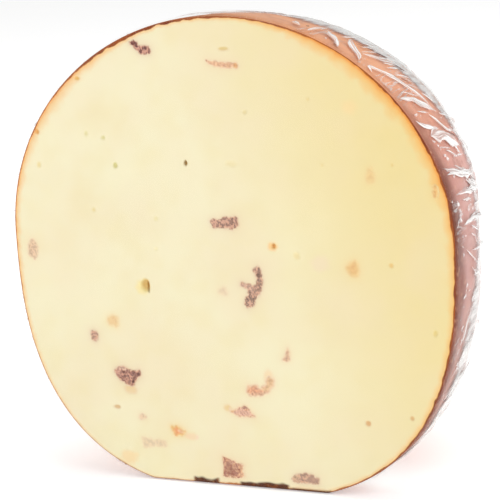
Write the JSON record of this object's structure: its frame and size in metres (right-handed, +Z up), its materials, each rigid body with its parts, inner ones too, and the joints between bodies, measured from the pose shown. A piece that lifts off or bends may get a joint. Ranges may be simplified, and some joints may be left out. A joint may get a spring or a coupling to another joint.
{
  "type": "half ham cheese wheel in film",
  "caption": "Half of a round ham cheese standing on its flattened side, wrapped in clear film, with diced ham showing in the cut face.",
  "frame": {"origin": "on the surface the cheese stands on, under the middle of the whole", "axes": "+Z up; -Y is the way the cut face looks, +Y runs back to the rounded end; X runs across the cut face, +X to the right when the cut face is looked at"},
  "size_m": [0.1432, 0.0969, 0.142],
  "materials": {
    "cheese": "pale cream paste, slightly moist, with a thin orange-brown rind",
    "ham_dark": "moist cured ham, dark maroon, fibrous",
    "ham_pink": "moist ham, pale pink, fibrous",
    "ham_orange": "moist ham, orange-stained, fibrous",
    "film": "clear glossy cling film, wrinkled"
  },
  "bodies": {
    "root": {"cheese_body": "cheese", "ham_top_left": "ham_dark", "ham_top_strip": "ham_pink", "ham_centre": "ham_dark", "ham_branch": "ham_dark", "ham_heart": "ham_dark", "ham_chip_left": "ham_dark", "ham_round_left": "ham_orange", "ham_rim_left": "ham_pink", "ham_right": "ham_orange", "ham_boot": "ham_pink", "ham_hook": "ham_pink", "ham_wedge": "ham_pink", "ham_ember": "ham_orange", "ham_band": "ham_pink", "ham_crumb": "ham_pink", "ham_base_block": "ham_pink", "ham_base_slab": "ham_dark", "ham_upper_right": "ham_orange", "ham_rim_right": "ham_orange", "ham_faint_centre": "ham_pink", "film_wrap": "film"}
  },
  "joints": []
}
